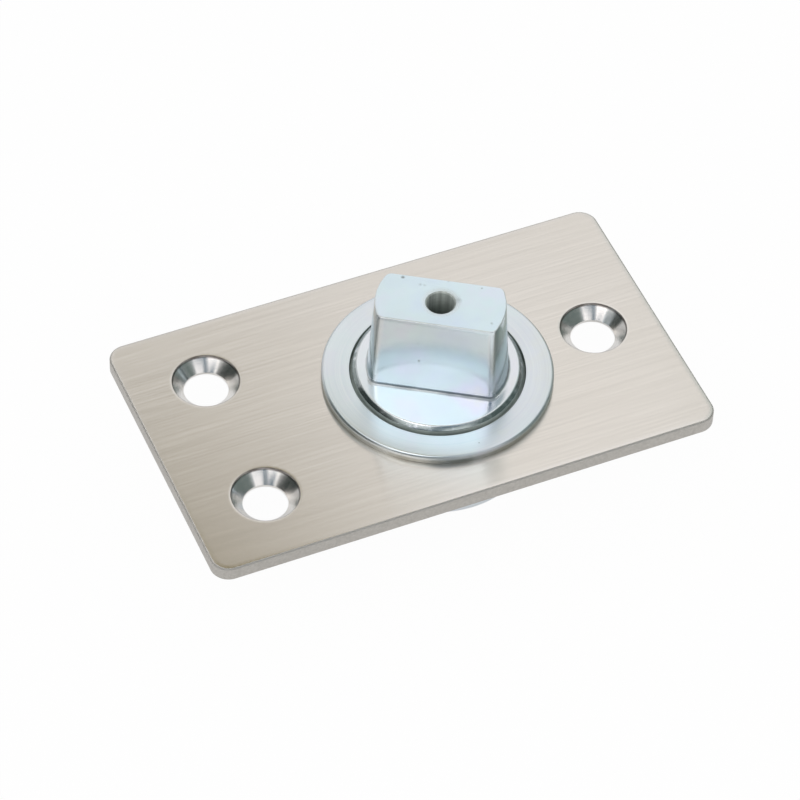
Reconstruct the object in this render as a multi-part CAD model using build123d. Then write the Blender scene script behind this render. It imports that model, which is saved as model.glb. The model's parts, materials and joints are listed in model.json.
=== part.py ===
from build123d import *
import os
from math import pi, radians, sqrt, tan

# Floor plate: a blanked sheet with its underside at z = 0 and the pivot axis at x = y = 0
PLATE_LENGTH = 100.0
PLATE_WIDTH = 58.0
PLATE_THICKNESS = 3.0
PLATE_CORNER_R = 3.5
PLATE_TOP_EDGE_R = 0.4
PLATE_UNDER_EDGE = 0.2
SINGLE_END_TO_PIVOT = 44.6

# Countersunk screw holes: a pair at one end of the plate and a single one at the other
SCREW_HOLE_D = 8.4
COUNTERSINK_D = 12.6
COUNTERSINK_ANGLE = 90.0
COUNTERSINK_LIP = 0.4
PAIR_INSET = 14.9
PAIR_PITCH = 29.7
SINGLE_INSET = 12.5

# Thrust ball bearing between the spindle's collar and the housing floor
BEARING_BORE = 17.0
BEARING_OD = 30.0
BEARING_HEIGHT = 9.0
RACE_RIM = 0.869
RACE_DEPTH = 0.6
RACE_R_PER_BALL_D = 0.54
RACE_WASHER_CHAMFER = 0.3
CAGE_THICKNESS = 2.0
CAGE_WEB = 1.3
CAGE_OUTER_RIM = 0.6

# Spindle: flat-tapered head, collar, bearing journal and guide journal
HEAD_HEIGHT = 16.95
HEAD_BASE_D = 26.4
HEAD_TOP_D = 24.2
HEAD_BASE_WIDTH = 13.7
HEAD_TOP_WIDTH = 11.4
HEAD_ANGLE = -32.4
HEAD_SIDE_EDGE_R = 0.8
HEAD_TOP_CHAMFER = 0.35
HEAD_BASE_FILLET_R = 0.35
HEAD_HOLE_D = 5.2
HEAD_HOLE_DEPTH = 10.0
HEAD_HOLE_MOUTH = 0.25
DRILL_POINT_ANGLE = 118.0
COLLAR_RISE = 3.0
COLLAR_THICKNESS = 4.3
COLLAR_OVERHANG = 0.9
COLLAR_CHAMFER = 0.75
GUIDE_D = 12.0
SHAFT_END_LAND = 0.75
SHAFT_END_CHAMFER = 0.3

# Bearing housing: a turned cup whose flange lies on the plate, staked flush into the plate's underside
FLANGE_WIDTH = 3.2
FLANGE_RISE = 1.8
FLANGE_EDGE_R = 0.5
BODY_WALL = 2.05
BODY_END_CHAMFER = 0.3
BORE_MOUTH_CHAMFER = 0.1
WASHER_SEAT_DEPTH = 1.7
STAKE_WIDTH = 0.9
STAKE_HEIGHT = 1.2

# Guide bush in the housing floor, retaining washer and retaining ring below it
BUSH_WALL = 2.0
BUSH_LENGTH = 4.5
RETAINING_WASHER_D = 20.0
RETAINING_WASHER_THICKNESS = 1.0
RING_THICKNESS = 1.0
RING_BACK_WIDTH = 1.8
RING_TIP_WIDTH = 1.0
RING_GAP = 3.2
RING_LUG_D = 2.9
RING_LUG_HOLE_D = 1.7
RING_LUG_REACH = 1.85
GROOVE_DEPTH = 0.25

# Clearances
COLLAR_GAP = 0.55
PLATE_HOLE_CLEARANCE = 0.05
SEAT_CLEARANCE = 0.03
JOURNAL_CLEARANCE = 0.02
HOUSING_WASHER_CLEARANCE = 0.5
JOURNAL_END_CLEARANCE = 0.4
GUIDE_CLEARANCE = 0.03
BALL_CLEARANCE = 0.05
POCKET_CLEARANCE = 0.1
CAGE_SHAFT_CLEARANCE = 0.35
AXIAL_PLAY = 0.15
WASHER_BORE_CLEARANCE = 0.1
GROOVE_WIDTH_CLEARANCE = 0.1
RING_GRIP_CLEARANCE = 0.02
RECESS_CLEARANCE = 2.0
SHAFT_END_CLEARANCE = 0.2

# Radii shared by the pieces that fit together
COLLAR_R = BEARING_OD / 2 + COLLAR_OVERHANG
BORE_R = COLLAR_R + COLLAR_GAP
BODY_R = BORE_R + BODY_WALL
FLANGE_R = BODY_R + FLANGE_WIDTH
GUIDE_R = GUIDE_D / 2
GROOVE_R = GUIDE_R - GROOVE_DEPTH
BUSH_BORE_R = GUIDE_R + GUIDE_CLEARANCE
BUSH_R = BUSH_BORE_R + BUSH_WALL
RECESS_R = RETAINING_WASHER_D / 2 + RECESS_CLEARANCE
BALL_D = (BEARING_OD - BEARING_BORE) / 2 - 2 * RACE_RIM
BALL_R = BALL_D / 2
BALL_PITCH_R = (BEARING_BORE + BEARING_OD) / 4
POCKET_R = BALL_R + POCKET_CLEARANCE

# Levels from the top of the head down to the end of the housing
COLLAR_TOP = PLATE_THICKNESS + COLLAR_RISE
COLLAR_BOTTOM = COLLAR_TOP - COLLAR_THICKNESS
HEAD_TOP = COLLAR_TOP + HEAD_HEIGHT
FLANGE_TOP = PLATE_THICKNESS + FLANGE_RISE
FLOOR_TOP = COLLAR_BOTTOM - BEARING_HEIGHT
FLOOR_BOTTOM = FLOOR_TOP - BUSH_LENGTH
WASHER_TOP = FLOOR_BOTTOM - AXIAL_PLAY
RING_TOP = WASHER_TOP - RETAINING_WASHER_THICKNESS
RING_BOTTOM = RING_TOP - RING_THICKNESS
SHAFT_END = RING_BOTTOM - SHAFT_END_LAND
BODY_END = SHAFT_END - SHAFT_END_CLEARANCE
BALL_LEVEL = COLLAR_BOTTOM - BEARING_HEIGHT / 2
RACE_WASHER_THICKNESS = (BEARING_HEIGHT - BALL_D) / 2 + RACE_DEPTH

# Centres of the repeated features
PAIR_END_TO_PIVOT = PLATE_LENGTH - SINGLE_END_TO_PIVOT
SCREW_HOLES = [
    (PAIR_INSET - PAIR_END_TO_PIVOT, PAIR_PITCH / 2),
    (PAIR_INSET - PAIR_END_TO_PIVOT, -PAIR_PITCH / 2),
    (SINGLE_END_TO_PIVOT - SINGLE_INSET, 0),
]
BALL_COUNT = int(2 * pi * BALL_PITCH_R / (BALL_D + CAGE_WEB))
BALL_PLACES = [loc * Pos(Z=BALL_LEVEL) for loc in PolarLocations(BALL_PITCH_R, BALL_COUNT)]


def turned(*corners):
    """Solid of revolution about the pivot axis from its (radius, level) corners."""
    section = make_face(Polyline(*corners, close=True))
    return revolve(Plane.XZ * section, Axis.Z)


def turned_ring(inner_r, outer_r, bottom, top):
    return turned((inner_r, bottom), (outer_r, bottom), (outer_r, top), (inner_r, top))


# Floor plate, with the flared hole for the staked housing and the countersunk screw holes
def floor_plate():
    centre = Pos(X=(SINGLE_END_TO_PIVOT - PAIR_END_TO_PIVOT) / 2)
    plate = extrude(centre * RectangleRounded(PLATE_LENGTH, PLATE_WIDTH, PLATE_CORNER_R), PLATE_THICKNESS)
    plate = fillet(plate.edges().group_by(Axis.Z)[-1], PLATE_TOP_EDGE_R)
    plate = chamfer(plate.edges().group_by(Axis.Z)[0], PLATE_UNDER_EDGE)
    hole_r = BODY_R + PLATE_HOLE_CLEARANCE
    plate -= turned(
        (0, 0),
        (hole_r + STAKE_WIDTH, 0),
        (hole_r, STAKE_HEIGHT),
        (hole_r, PLATE_THICKNESS),
        (0, PLATE_THICKNESS),
    )
    lip = Cylinder(COUNTERSINK_D / 2, 2 * COUNTERSINK_LIP)
    screw_hole = CounterSinkHole(SCREW_HOLE_D / 2, COUNTERSINK_D / 2, 2 * PLATE_THICKNESS, COUNTERSINK_ANGLE)
    for x, y in SCREW_HOLES:
        plate -= Pos(x, y, PLATE_THICKNESS) * lip
        plate -= Pos(x, y, PLATE_THICKNESS - COUNTERSINK_LIP) * screw_hole
    return plate


# Bearing housing: flange, bore, washer seat, bush hole, lower recess and staked lip in one section
def bearing_housing():
    seat_r = BEARING_OD / 2 + SEAT_CLEARANCE
    seat_top = FLOOR_TOP + WASHER_SEAT_DEPTH
    cup = turned(
        (BUSH_R, FLOOR_TOP),
        (seat_r, FLOOR_TOP),
        (seat_r, seat_top),
        (BORE_R, seat_top),
        (BORE_R, FLANGE_TOP - BORE_MOUTH_CHAMFER),
        (BORE_R + BORE_MOUTH_CHAMFER, FLANGE_TOP),
        (FLANGE_R, FLANGE_TOP),
        (FLANGE_R, PLATE_THICKNESS),
        (BODY_R, PLATE_THICKNESS),
        (BODY_R, STAKE_HEIGHT),
        (BODY_R + STAKE_WIDTH, 0),
        (BODY_R, 0),
        (BODY_R, BODY_END + BODY_END_CHAMFER),
        (BODY_R - BODY_END_CHAMFER, BODY_END),
        (RECESS_R, BODY_END),
        (RECESS_R, FLOOR_BOTTOM),
        (BUSH_R, FLOOR_BOTTOM),
    )
    flange_edge = cup.edges().group_by(Axis.Z)[-1].sort_by(SortBy.RADIUS)[-1]
    return fillet(flange_edge, FLANGE_EDGE_R)


# Outline of the head at one level: a circle cut by two flats, with its corners rounded
def head_outline(level, inset=0.0):
    share = level / HEAD_HEIGHT
    diameter = HEAD_BASE_D + share * (HEAD_TOP_D - HEAD_BASE_D) - 2 * inset
    width = HEAD_BASE_WIDTH + share * (HEAD_TOP_WIDTH - HEAD_BASE_WIDTH) - 2 * inset
    outline = Circle(diameter / 2) & Rectangle(diameter, width)
    return Pos(Z=level) * fillet(outline.vertices(), HEAD_SIDE_EDGE_R)


# Spindle head: a flat taper with a chamfered top and a blind hole in it
def spindle_head():
    sections = [
        head_outline(0),
        head_outline(HEAD_HEIGHT - HEAD_TOP_CHAMFER),
        head_outline(HEAD_HEIGHT, HEAD_TOP_CHAMFER),
    ]
    hole_r = HEAD_HOLE_D / 2
    hole_end = HEAD_HEIGHT - HEAD_HOLE_DEPTH
    hole = turned(
        (0, hole_end - hole_r / tan(radians(DRILL_POINT_ANGLE / 2))),
        (hole_r, hole_end),
        (hole_r, HEAD_HEIGHT - HEAD_HOLE_MOUTH),
        (hole_r + HEAD_HOLE_MOUTH, HEAD_HEIGHT),
        (0, HEAD_HEIGHT),
    )
    return loft(sections, ruled=True) - hole


# Spindle: the head on its collar with a fillet at its foot, over the bearing journal and the guide journal
def spindle():
    journal_r = BEARING_BORE / 2 - JOURNAL_CLEARANCE
    journal_end = FLOOR_TOP + JOURNAL_END_CLEARANCE
    groove_top = RING_TOP + GROOVE_WIDTH_CLEARANCE
    shaft = turned(
        (0, SHAFT_END),
        (GUIDE_R - SHAFT_END_CHAMFER, SHAFT_END),
        (GUIDE_R, SHAFT_END + SHAFT_END_CHAMFER),
        (GUIDE_R, RING_BOTTOM),
        (GROOVE_R, RING_BOTTOM),
        (GROOVE_R, groove_top),
        (GUIDE_R, groove_top),
        (GUIDE_R, journal_end),
        (journal_r, journal_end),
        (journal_r, COLLAR_BOTTOM),
        (COLLAR_R, COLLAR_BOTTOM),
        (COLLAR_R, COLLAR_TOP - COLLAR_CHAMFER),
        (COLLAR_R - COLLAR_CHAMFER, COLLAR_TOP),
        (0, COLLAR_TOP),
    )
    whole = shaft + Pos(Z=COLLAR_TOP) * Rot(Z=HEAD_ANGLE) * spindle_head()
    collar_face_edges = whole.edges().filter_by_position(Axis.Z, COLLAR_TOP, COLLAR_TOP)
    head_foot = collar_face_edges.sort_by(SortBy.LENGTH)[:-1]
    return fillet(head_foot, HEAD_BASE_FILLET_R)


# Race washers: flat rings with a round groove for the balls, chamfered on the seated side
def race_washer(bore_r, seat, ball_side):
    outer_r = BEARING_OD / 2
    face = seat + ball_side * RACE_WASHER_THICKNESS
    seat_edge = seat + ball_side * RACE_WASHER_CHAMFER
    washer = turned(
        (bore_r, face),
        (outer_r, face),
        (outer_r, seat_edge),
        (outer_r - RACE_WASHER_CHAMFER, seat),
        (bore_r + RACE_WASHER_CHAMFER, seat),
        (bore_r, seat_edge),
    )
    race_r = RACE_R_PER_BALL_D * BALL_D
    race_level = BALL_LEVEL + ball_side * (race_r - BALL_R - BALL_CLEARANCE)
    return washer - Pos(Z=race_level) * Torus(BALL_PITCH_R, race_r)


# Cage: a flat ring with one round pocket for each ball
def bearing_cage():
    inner_r = BEARING_BORE / 2 + CAGE_SHAFT_CLEARANCE
    outer_r = BALL_PITCH_R + POCKET_R + CAGE_OUTER_RIM
    cage = turned_ring(inner_r, outer_r, BALL_LEVEL - CAGE_THICKNESS / 2, BALL_LEVEL + CAGE_THICKNESS / 2)
    for place in BALL_PLACES:
        cage -= place * Cylinder(POCKET_R, 2 * CAGE_THICKNESS)
    return cage


# Retaining ring: a tapered open ring with two drilled lugs, sprung into the spindle's groove
def retaining_ring():
    inner_r = GROOVE_R + RING_GRIP_CLEARANCE
    outer_r = inner_r + (RING_BACK_WIDTH + RING_TIP_WIDTH) / 2
    back_shift = (RING_BACK_WIDTH - RING_TIP_WIDTH) / 2
    lug_y = (RING_GAP + RING_LUG_D) / 2
    lug_x = sqrt(inner_r**2 - lug_y**2) + RING_LUG_REACH
    outline = Pos(X=-back_shift) * Circle(outer_r)
    for side in (-1, 1):
        outline += Pos(lug_x, side * lug_y) * Circle(RING_LUG_D / 2)
    outline -= Circle(inner_r)
    outline -= Rectangle(2 * outer_r, RING_GAP, align=(Align.MIN, Align.CENTER))
    for side in (-1, 1):
        outline -= Pos(lug_x, side * lug_y) * Circle(RING_LUG_HOLE_D / 2)
    return Pos(Z=RING_BOTTOM) * extrude(outline, RING_THICKNESS)


shaft_washer_bore_r = BEARING_BORE / 2
housing_washer_bore_r = shaft_washer_bore_r + HOUSING_WASHER_CLEARANCE
retaining_washer_bore_r = GUIDE_R + WASHER_BORE_CLEARANCE

nodes = {
    "floor_plate": floor_plate(),
    "bearing_housing": bearing_housing(),
    "guide_bush": turned_ring(BUSH_BORE_R, BUSH_R, FLOOR_BOTTOM, FLOOR_TOP),
    "bearing_housing_washer": race_washer(housing_washer_bore_r, FLOOR_TOP, 1),
    "bearing_cage": bearing_cage(),
    "bearing_shaft_washer": race_washer(shaft_washer_bore_r, COLLAR_BOTTOM, -1),
    "spindle": spindle(),
    "retaining_washer": turned_ring(retaining_washer_bore_r, RETAINING_WASHER_D / 2, RING_TOP, WASHER_TOP),
    "retaining_ring": retaining_ring(),
}
for number, place in enumerate(BALL_PLACES, start=1):
    nodes[f"bearing_ball_{number:02d}"] = place * Sphere(BALL_R)

os.makedirs("parts", exist_ok=True)
for name, solid in nodes.items():
    export_step(solid, f"parts/{name}.step")
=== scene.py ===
import json
from math import atan2, cos, pi, radians, sin, tau

import bmesh
import bpy
from mathutils import Matrix, Vector


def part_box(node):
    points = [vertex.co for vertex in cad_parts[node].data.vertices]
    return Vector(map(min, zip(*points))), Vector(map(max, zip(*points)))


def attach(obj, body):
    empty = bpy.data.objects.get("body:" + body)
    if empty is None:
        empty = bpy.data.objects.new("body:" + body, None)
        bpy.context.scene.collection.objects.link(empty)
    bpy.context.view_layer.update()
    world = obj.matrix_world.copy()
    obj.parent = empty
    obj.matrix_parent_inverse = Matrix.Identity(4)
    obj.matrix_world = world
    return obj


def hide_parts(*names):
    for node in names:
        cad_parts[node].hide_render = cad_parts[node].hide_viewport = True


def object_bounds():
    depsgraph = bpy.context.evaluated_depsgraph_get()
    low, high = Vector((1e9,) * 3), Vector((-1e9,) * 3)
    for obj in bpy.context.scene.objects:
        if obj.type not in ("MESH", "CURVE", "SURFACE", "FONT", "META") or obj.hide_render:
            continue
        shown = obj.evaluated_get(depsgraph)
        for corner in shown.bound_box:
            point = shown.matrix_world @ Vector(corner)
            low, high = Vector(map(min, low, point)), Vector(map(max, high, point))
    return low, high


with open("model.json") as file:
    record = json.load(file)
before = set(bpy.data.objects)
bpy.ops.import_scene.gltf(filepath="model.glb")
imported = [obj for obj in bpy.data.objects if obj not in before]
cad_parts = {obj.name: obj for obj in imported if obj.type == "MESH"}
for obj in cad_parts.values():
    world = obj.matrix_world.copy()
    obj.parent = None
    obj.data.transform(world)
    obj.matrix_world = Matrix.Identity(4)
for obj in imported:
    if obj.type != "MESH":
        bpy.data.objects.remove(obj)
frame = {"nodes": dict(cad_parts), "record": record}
cad_low, cad_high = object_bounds()


# Floor plate: 3 mm stainless sheet blanked to a rounded oblong, its top edge rolled over by the punch.
# The top is belt-brushed along the length, the three screw holes are drilled and countersunk after
# that, and a flared hole in the middle takes the staked bearing housing.
MM = 0.001
NEAR = 0.002 * MM
largest_curved_face = 30 * MM * MM
level_face = 0.99995
sharp_angle = radians(32)
plate_low, plate_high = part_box("floor_plate")
plate_top = plate_high.z
plate_corner = 3.5 * MM
plate_edge_band = 1.2 * MM
plate_rollover = 0.4 * MM
plate_under_edge = 0.2 * MM
plate_corner_steps = 64
screw_hole_radius = 4.2 * MM
screw_hole_band = 0.6 * MM
countersink_radius = 6.3 * MM
countersink_wall = 0.4 * MM
countersink_lip = plate_top - countersink_wall
countersink_floor = countersink_lip - (countersink_radius - screw_hole_radius)
countersink_rim = 0.09 * MM
countersink_foot = 0.06 * MM
drilled_edge = 0.12 * MM
housing_hole_radius = 18.52 * MM
housing_hole_band = 0.8 * MM
stake_flare = 0.9 * MM
stake_rise = 1.2 * MM
sheared_lean = 0.95
countersunk_lean = 0.99
mounts = {mount["name"]: mount for mount in frame["record"]["mounts"]}
pair_x = mounts["pair_screw_holes"]["pos_m"][0]
pair_half_pitch = mounts["pair_screw_holes"]["dims"]["spacing_y_mm"] / 2 * MM
single_x = mounts["single_screw_hole"]["pos_m"][0]


def at_level(element, level):
    """Tells whether all the points of an edge or a face lie at one level."""
    return all(abs(vert.co.z - level) < NEAR for vert in element.verts)


def turn(bm, angle):
    """Turns a whole mesh about the pivot axis."""
    bmesh.ops.rotate(bm, verts=bm.verts[:], cent=(0.0, 0.0, 0.0), matrix=Matrix.Rotation(angle, 3, "Z"))


def bevel_edges(bm, edges, rounding, segments):
    """Rounds edges and returns the points of the rounding."""
    return bmesh.ops.bevel(bm, geom=edges, offset=rounding, offset_type="OFFSET", affect="EDGES",
                           segments=segments, profile=0.5, material=-1, clamp_overlap=False)["verts"]


def round_edges(bm, edges, rounding, segments):
    """Rounds edges and marks the rounding as rubbed, for the finishes that show wear there."""
    rounded = bevel_edges(bm, edges, rounding, segments)
    rub = bm.verts.layers.float["rub"]
    for vert in rounded:
        vert[rub] = 1.0


def spin_outline(bm, corners, centre=(0.0, 0.0), steps=128, closed=False, segments=4):
    """Spins (radius, level, rounding) corners about an upright axis and rounds the rings that ask for it."""
    if "rub" not in bm.verts.layers.float:
        bm.verts.layers.float.new("rub")
    before = set(bm.faces)
    start = [bm.verts.new((centre[0] + radius, centre[1], level)) for radius, level, rounding in corners]
    pairs = list(zip(start, start[1:])) + ([(start[-1], start[0])] if closed else [])
    wire = [bm.edges.new(pair) for pair in pairs]
    bmesh.ops.spin(bm, geom=start + wire, cent=(centre[0], centre[1], 0.0), axis=(0.0, 0.0, 1.0),
                   angle=tau, steps=steps, use_merge=True)
    for radius, level, rounding in corners:
        if rounding:
            ring = [edge for edge in bm.edges if at_level(edge, level) and all(
                abs((vert.co.xy - Vector(centre)).length - radius) < NEAR for vert in edge.verts)]
            round_edges(bm, ring, rounding, segments)
    return [face for face in bm.faces if face not in before]


def fill_level(bm, level):
    """Fills the flat between all the open rims at one level."""
    rims = [edge for edge in bm.edges if edge.is_boundary and at_level(edge, level)]
    bmesh.ops.triangle_fill(bm, edges=rims, use_beauty=True, normal=(0.0, 0.0, 1.0))


def add_piece(bm, name, body, nodes, materials):
    """Closes the seams, turns the faces outwards, hangs the piece on its body and hides the parts that it
    replaces.
    """
    bmesh.ops.remove_doubles(bm, verts=bm.verts[:], dist=NEAR / 10)
    bmesh.ops.recalc_face_normals(bm, faces=bm.faces[:])
    for face in bm.faces:
        face.smooth = abs(face.normal.z) < level_face and face.calc_area() < largest_curved_face
    mesh = bpy.data.meshes.new(name)
    bm.to_mesh(mesh)
    bm.free()
    mesh.set_sharp_from_angle(angle=sharp_angle)
    for material in materials:
        mesh.materials.append(material)
    piece = bpy.data.objects.new(name, mesh)
    bpy.context.scene.collection.objects.link(piece)
    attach(piece, body)
    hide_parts(*nodes)


plate = bmesh.new()
edge_faces = spin_outline(plate, [(plate_corner - plate_edge_band, plate_top, 0.0),
                                  (plate_corner, plate_top, plate_rollover),
                                  (plate_corner, plate_low.z, plate_under_edge),
                                  (plate_corner - plate_edge_band, plate_low.z, 0.0)],
                          steps=plate_corner_steps, segments=6)
turn(plate, pi / plate_corner_steps)
for corner_x, side_x in ((plate_low.x + plate_corner, -1), (plate_high.x - plate_corner, 1)):
    for corner_y, side_y in ((plate_low.y + plate_corner, -1), (plate_high.y - plate_corner, 1)):
        quarter = [vert for vert in plate.verts if vert.co.xy.length < plate_corner + NEAR
                   and vert.co.x * side_x > 0 and vert.co.y * side_y > 0]
        bmesh.ops.translate(plate, verts=quarter, vec=(corner_x, corner_y, 0.0))
from_axis = plate.verts.layers.float_vector.new("from_axis")
hole_faces = []
for hole in ((pair_x, pair_half_pitch), (pair_x, -pair_half_pitch), (single_x, 0.0)):
    faces = spin_outline(plate, [(countersink_radius + screw_hole_band, plate_top, 0.0),
                                 (countersink_radius, plate_top, countersink_rim),
                                 (countersink_radius, countersink_lip, 0.0),
                                 (screw_hole_radius, countersink_floor, countersink_foot),
                                 (screw_hole_radius, plate_low.z, drilled_edge),
                                 (screw_hole_radius + screw_hole_band, plate_low.z, 0.0)], centre=hole)
    for vert in {vert for face in faces for vert in face.verts}:
        vert[from_axis] = vert.co - Vector((hole[0], hole[1], 0.0))
    hole_faces += faces
spin_outline(plate, [(housing_hole_radius + housing_hole_band, plate_top, 0.0),
                     (housing_hole_radius, plate_top, drilled_edge),
                     (housing_hole_radius, plate_low.z + stake_rise, 0.0),
                     (housing_hole_radius + stake_flare, plate_low.z, 0.0),
                     (housing_hole_radius + stake_flare + housing_hole_band, plate_low.z, 0.0)], steps=192)
fill_level(plate, plate_top)
fill_level(plate, plate_low.z)
for face in edge_faces:
    if abs(face.normal.z) < sheared_lean:
        face.material_index = 1
for face in hole_faces:
    if abs(face.normal.z) < countersunk_lean:
        face.material_index = 2


def fill_socket(tree, socket, value):
    """Links a socket to another node's output, or sets it to a constant."""
    if isinstance(value, bpy.types.NodeSocket):
        tree.links.new(value, socket)
    else:
        socket.default_value = value


def add_node(tree, kind, options=None, **values):
    """Adds a shader node, sets its options and fills its inputs by name, or by number as i0, i1 and so on."""
    node = tree.nodes.new(kind)
    for option, choice in (options or {}).items():
        setattr(node, option, choice)
    for name, value in values.items():
        numbered = name[0] == "i" and name[1:].isdigit()
        fill_socket(tree, node.inputs[int(name[1:]) if numbered else name.replace("_", " ")], value)
    return node


def work_out(tree, operation, *terms, vector=False):
    """Adds a maths node for numbers or vectors, fills its inputs in order and returns its result."""
    node = tree.nodes.new("ShaderNodeVectorMath" if vector else "ShaderNodeMath")
    node.operation = operation
    for socket, term in zip(node.inputs, terms):
        fill_socket(tree, socket, term)
    return node.outputs["Vector" if vector and operation not in ("LENGTH", "DISTANCE") else "Value"]


def remap(tree, value, low, high, to_low=0.0, to_high=1.0, **options):
    """Maps a value from one range to another and returns the result."""
    return add_node(tree, "ShaderNodeMapRange", options, Value=value, From_Min=low, From_Max=high,
                    To_Min=to_low, To_Max=to_high).outputs["Result"]


def add_noise(tree, vector, scale, detail, roughness=0.5):
    """Adds a noise and returns its value."""
    return add_node(tree, "ShaderNodeTexNoise", Vector=vector, Scale=scale, Detail=detail,
                    Roughness=roughness).outputs["Fac"]


def along(tree, vector, axis):
    """Returns a vector's part along one axis."""
    return add_node(tree, "ShaderNodeSeparateXYZ", Vector=vector).outputs[axis]


def start_group(name, inputs, outputs):
    """Starts a shader node group with named sockets and returns its tree, its inputs and its output node."""
    tree = bpy.data.node_groups.new(name, "ShaderNodeTree")
    for socket_name, kind, default in inputs:
        socket = tree.interface.new_socket(socket_name, in_out="INPUT", socket_type=kind)
        if default is not None:
            socket.default_value = default
    for socket_name, kind in outputs:
        tree.interface.new_socket(socket_name, in_out="OUTPUT", socket_type=kind)
    return tree, tree.nodes.new("NodeGroupInput").outputs, tree.nodes.new("NodeGroupOutput").inputs


grain_tree, grain_in, grain_out = start_group(
    "brushed_grain",
    [("Vector", "NodeSocketVector", None), ("Length", "NodeSocketFloat", 60.0),
     ("Fineness", "NodeSocketFloat", 4000.0)],
    [("Fine", "NodeSocketFloat"), ("Broad", "NodeSocketFloat")])
grain_stretch = add_node(grain_tree, "ShaderNodeCombineXYZ", X=grain_in["Length"], Y=grain_in["Fineness"],
                         Z=grain_in["Fineness"]).outputs["Vector"]
grain_vector = work_out(grain_tree, "MULTIPLY", grain_in["Vector"], grain_stretch, vector=True)
grain_fine = add_noise(grain_tree, grain_vector, scale=1.0, detail=3.0, roughness=0.65)
grain_widening = (0.6, 0.17, 0.17)
grain_wide = work_out(grain_tree, "MULTIPLY", grain_vector, grain_widening, vector=True)
grain_broad = add_noise(grain_tree, grain_wide, scale=1.0, detail=4.0, roughness=0.7)
grain_tree.links.new(grain_fine, grain_out["Fine"])
grain_tree.links.new(grain_broad, grain_out["Broad"])

turning_tree, turning_in, turning_out = start_group(
    "turning_marks",
    [("From Axis", "NodeSocketVector", None), ("Fineness", "NodeSocketFloat", 5000.0),
     ("Wander", "NodeSocketFloat", 0.15)],
    [("Lines", "NodeSocketFloat"), ("Chatter", "NodeSocketFloat")])
level_only = (1.0, 1.0, 0.0)
turning_flat = work_out(turning_tree, "MULTIPLY", turning_in["From Axis"], level_only, vector=True)
turning_radius = work_out(turning_tree, "LENGTH", turning_flat, vector=True)
turning_ray = work_out(turning_tree, "NORMALIZE", turning_flat, vector=True)
turning_height = along(turning_tree, turning_in["From Axis"], "Z")
turning_place = add_node(turning_tree, "ShaderNodeCombineXYZ",
                         X=work_out(turning_tree, "MULTIPLY", turning_radius, turning_in["Fineness"]),
                         Y=work_out(turning_tree, "MULTIPLY", turning_height, turning_in["Fineness"]))
turning_drift = add_node(turning_tree, "ShaderNodeVectorMath", {"operation": "SCALE"}, i0=turning_ray,
                         Scale=turning_in["Wander"])
turning_sum = work_out(turning_tree, "ADD", turning_place.outputs["Vector"], turning_drift.outputs["Vector"],
                       vector=True)
turning_lines = add_noise(turning_tree, turning_sum, scale=1.0, detail=3.0, roughness=0.6)
turning_chatter = add_noise(turning_tree, turning_ray, scale=4.0, detail=2.0)
turning_tree.links.new(turning_lines, turning_out["Lines"])
turning_tree.links.new(turning_chatter, turning_out["Chatter"])

marks_tree, marks_in, marks_out = start_group(
    "handling_marks",
    [("Vector", "NodeSocketVector", None), ("Cloud Scale", "NodeSocketFloat", 90.0),
     ("Pit Scale", "NodeSocketFloat", 260.0), ("Pit Size", "NodeSocketFloat", 0.16)],
    [("Clouds", "NodeSocketFloat"), ("Pits", "NodeSocketFloat")])
marks_unpitted = 0.72
marks_pit_slope = 0.04
marks_clouds = add_noise(marks_tree, marks_in["Vector"], marks_in["Cloud Scale"], detail=4.0, roughness=0.6)
marks_cells = add_node(marks_tree, "ShaderNodeTexVoronoi", {"feature": "F1"}, Vector=marks_in["Vector"],
                       Scale=marks_in["Pit Scale"], Randomness=1.0).outputs
marks_chance = add_node(marks_tree, "ShaderNodeSeparateColor", Color=marks_cells["Color"]).outputs["Red"]
marks_reach = remap(marks_tree, marks_chance, marks_unpitted, 1.0, 0.0, marks_in["Pit Size"], clamp=False)
marks_depth = work_out(marks_tree, "SUBTRACT", marks_reach, marks_cells["Distance"])
marks_pits = remap(marks_tree, marks_depth, 0.0, marks_pit_slope, interpolation_type="SMOOTHSTEP")
marks_tree.links.new(marks_clouds, marks_out["Clouds"])
marks_tree.links.new(marks_pits, marks_out["Pits"])

# A mask that rises between two levels and is broken into patches: it lays grime on the collar, and painted
# shade at the countersinks' lips and at the flange's foot.
grime_shade_tree, grime_shade_in, grime_shade_out = start_group(
    "settled_grime_and_painted_shade",
    [("Vector", "NodeSocketVector", None), ("From", "NodeSocketFloat", 0.0),
     ("Full", "NodeSocketFloat", 0.001), ("Lowest", "NodeSocketFloat", -1.0),
     ("Breakup", "NodeSocketFloat", 300.0)],
    [("Grime_And_Shade", "NodeSocketFloat")])
grime_shade_thinnest = 0.55
grime_shade_height = along(grime_shade_tree, grime_shade_in["Vector"], "Z")
grime_shade_band = remap(grime_shade_tree, grime_shade_height, grime_shade_in["From"], grime_shade_in["Full"],
                   interpolation_type="SMOOTHSTEP")
grime_shade_noise = add_noise(grime_shade_tree, grime_shade_in["Vector"], grime_shade_in["Breakup"], detail=3.0)
grime_shade_patches = remap(grime_shade_tree, grime_shade_noise, 0.25, 0.6, grime_shade_thinnest, 1.0)
grime_shade_above = work_out(grime_shade_tree, "GREATER_THAN", grime_shade_height, grime_shade_in["Lowest"])
grime_shade_kept = work_out(grime_shade_tree, "MULTIPLY", grime_shade_band, grime_shade_above)
grime_shade_mask = work_out(grime_shade_tree, "MULTIPLY", grime_shade_kept, grime_shade_patches)
grime_shade_tree.links.new(grime_shade_mask, grime_shade_out["Grime_And_Shade"])


def place_group(tree, group, **values):
    """Places a node group in a finish with its own values and returns its outputs."""
    node = tree.nodes.new("ShaderNodeGroup")
    node.node_tree = group
    for name, value in values.items():
        fill_socket(tree, node.inputs[name.replace("_", " ")], value)
    return node.outputs


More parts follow.
